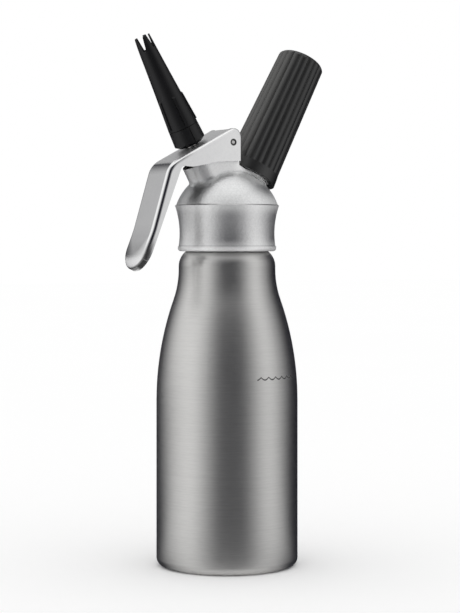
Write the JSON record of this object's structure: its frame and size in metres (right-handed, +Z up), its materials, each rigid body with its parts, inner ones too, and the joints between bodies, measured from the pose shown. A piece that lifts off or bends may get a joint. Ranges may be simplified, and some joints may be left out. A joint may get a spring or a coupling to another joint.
{
  "type": "cream whipper",
  "caption": "Brushed metal whipper bottle with a screw-on aluminium head, squeeze lever, black piping nozzle and fluted gas charger holder.",
  "frame": {"origin": "centre of the bottle's base, on the standing plane", "axes": "+Z up along the bottle's axis, lever and nozzle lean towards -X, charger holder towards +X, XZ is the plane of symmetry"},
  "size_m": [0.1231, 0.08, 0.2979],
  "materials": {
    "bottle_steel": "satin, brushed round the axis",
    "head_aluminium": "satin, fine turned",
    "lever_aluminium": "satin polished",
    "steel": "bright",
    "black_plastic": "semi-matt",
    "holder_plastic": "matt",
    "pale_plastic": "semi-gloss",
    "pale_rubber": "matt",
    "dark_rubber": "matt",
    "charger_steel": "bright plated",
    "brass": "turned"
  },
  "bodies": {
    "bottle": {"bottle": "bottle_steel"},
    "gasket": {"head_gasket": "pale_rubber"},
    "head": {"head": "head_aluminium", "stem_o_ring": "dark_rubber", "guide_bush": "pale_plastic", "valve_spring": "steel", "piercing_pin": "steel", "pin_nut": "brass", "piercing_gasket": "dark_rubber", "check_disc": "dark_rubber"},
    "lever": {"lever": "lever_aluminium", "lever_pin": "steel"},
    "valve": {"valve_stem": "steel", "valve_seal": "dark_rubber", "seal_nut": "steel", "nozzle_adaptor": "black_plastic"},
    "tip_seal": {"tip_washer": "dark_rubber"},
    "tip": {"nozzle_tip": "black_plastic"},
    "charger": {"charger": "charger_steel"},
    "holder": {"charger_holder": "holder_plastic", "holder_sleeve": "head_aluminium"}
  },
  "joints": [
    {"name": "head_lift", "type": "slide", "parent": "bottle", "child": "gasket", "axis": [0, 0, 1], "range_m": [0, 0.008]},
    {"name": "head_unscrew", "type": "hinge", "parent": "gasket", "child": "head", "pos_m": [0, 0, 0.19354], "axis": [0, 0, 1], "range_deg": [0, 721]},
    {"name": "lever_squeeze", "type": "hinge", "parent": "head", "child": "lever", "pos_m": [-0.00296, 0, 0.23851], "axis": [0, -1, 0], "range_deg": [0, 7], "stiffness_Nm_per_rad": 1.2, "springref_deg": -22.92},
    {"name": "valve_press", "type": "slide", "parent": "head", "child": "valve", "axis": [0.4695, 0, -0.8829], "range_m": [0, 0.0026], "deforming": ["valve_spring"]},
    {"name": "tip_lift", "type": "slide", "parent": "valve", "child": "tip_seal", "axis": [-0.4695, 0, 0.8829], "range_m": [0, 0.006]},
    {"name": "tip_unscrew", "type": "hinge", "parent": "tip_seal", "child": "tip", "pos_m": [0, 0, 0.19354], "axis": [-0.4695, 0, 0.8829], "range_deg": [0, 1081]},
    {"name": "charger_lift", "type": "slide", "parent": "head", "child": "charger", "axis": [0.4695, 0, 0.8829], "range_m": [0, 0.0075]},
    {"name": "holder_unscrew", "type": "hinge", "parent": "charger", "child": "holder", "pos_m": [0, 0, 0.19354], "axis": [0.4695, 0, 0.8829], "range_deg": [0, 1081]}
  ],
  "couplings": [
    {"joint": "head_unscrew", "follows": "head_lift", "rad_per_m": 1570.8},
    {"joint": "valve_press", "follows": "lever_squeeze", "m_per_rad": 0.0205},
    {"joint": "tip_unscrew", "follows": "tip_lift", "rad_per_m": 3141.6},
    {"joint": "holder_unscrew", "follows": "charger_lift", "rad_per_m": 2513.3}
  ]
}
